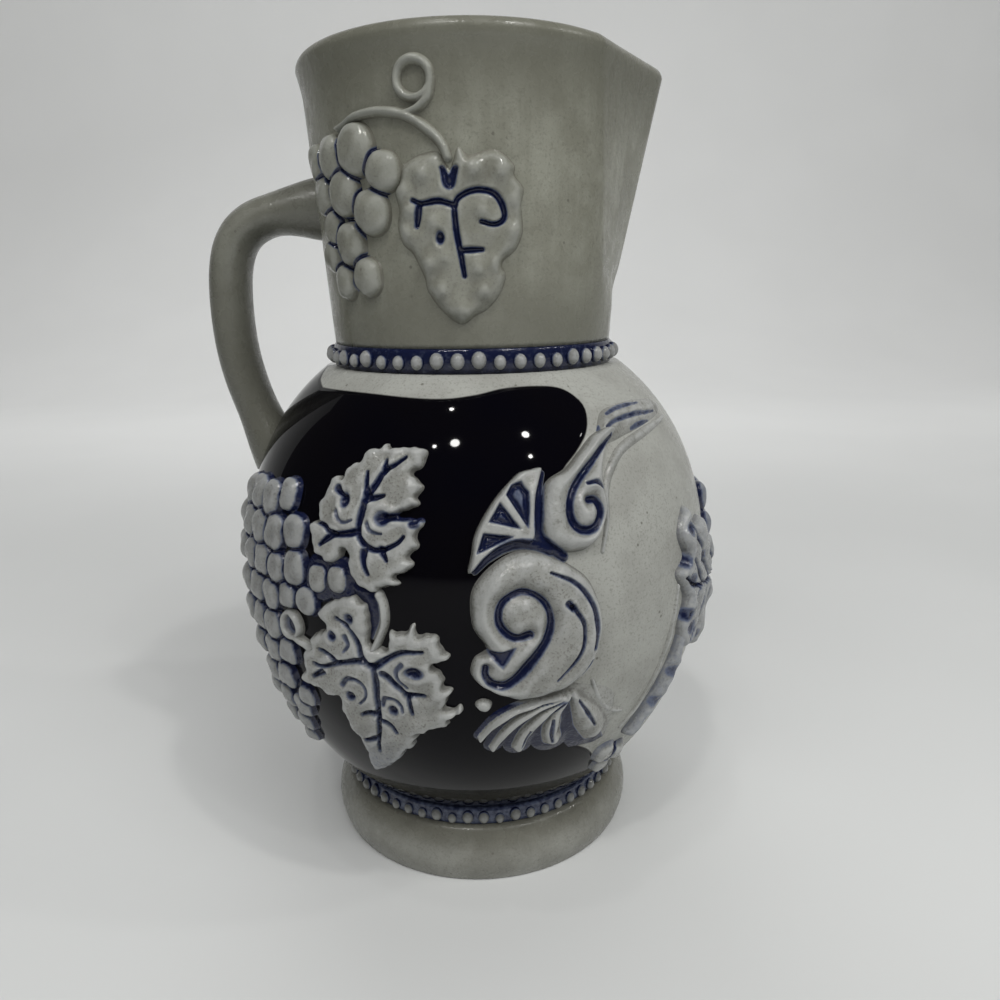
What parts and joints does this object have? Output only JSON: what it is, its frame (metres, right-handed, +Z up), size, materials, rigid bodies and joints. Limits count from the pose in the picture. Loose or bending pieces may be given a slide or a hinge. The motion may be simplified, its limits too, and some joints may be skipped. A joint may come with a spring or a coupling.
{
  "type": "pitcher",
  "caption": "Round-bellied stoneware pitcher with a flaring neck, pressed pouring lip, strap handle, beaded bands and applied grapevine and scroll reliefs, for serving drinks.",
  "frame": {"origin": "middle of the flat underside of the foot, on the axis of the turned body", "axes": "+Z up along the axis of the turned body, +X towards the pouring lip, the handle at -X"},
  "size_m": [0.106, 0.1028, 0.16],
  "materials": {
    "grey_glaze": "grey salt glaze with a fine orange-peel sheen",
    "pale_glaze": "pale grey salt glaze with cobalt blue pooled in the grooves",
    "dark_glaze": "glossy blue-black glaze round the reliefs, pale grey glaze on the shoulder and the front field",
    "cobalt_glaze": "grey beads and bumps with cobalt blue between them"
  },
  "bodies": {
    "root": {"foot": "grey_glaze", "belly": "dark_glaze", "neck": "grey_glaze", "handle": "grey_glaze", "foot_bead_band": "cobalt_glaze", "neck_bead_band": "cobalt_glaze", "neck_leaf_right": "grey_glaze", "neck_leaf_left": "grey_glaze", "neck_grapes_right": "grey_glaze", "neck_grapes_left": "grey_glaze", "neck_stem_right": "grey_glaze", "neck_stem_left": "grey_glaze", "belly_upper_leaf_right": "pale_glaze", "belly_upper_leaf_left": "pale_glaze", "belly_lower_leaf_right": "pale_glaze", "belly_lower_leaf_left": "pale_glaze", "belly_stalk_right": "pale_glaze", "belly_stalk_left": "pale_glaze", "belly_tendril_right": "pale_glaze", "belly_tendril_left": "pale_glaze", "belly_grapes_right": "pale_glaze", "belly_grapes_left": "pale_glaze", "belly_small_grapes_right": "pale_glaze", "belly_small_grapes_left": "pale_glaze", "border_fan_right": "pale_glaze", "border_fan_left": "pale_glaze", "border_upper_scroll_right": "pale_glaze", "border_upper_scroll_left": "pale_glaze", "border_lower_scroll_right": "pale_glaze", "border_lower_scroll_left": "pale_glaze", "border_feather_right": "pale_glaze", "border_feather_left": "pale_glaze", "border_pearl_right": "pale_glaze", "border_pearl_left": "pale_glaze", "border_plume_right": "pale_glaze", "border_plume_left": "pale_glaze", "border_knot_right": "pale_glaze", "border_knot_left": "pale_glaze", "front_leaf_right": "pale_glaze", "front_leaf_left": "pale_glaze", "front_grapes": "cobalt_glaze"}
  },
  "joints": []
}
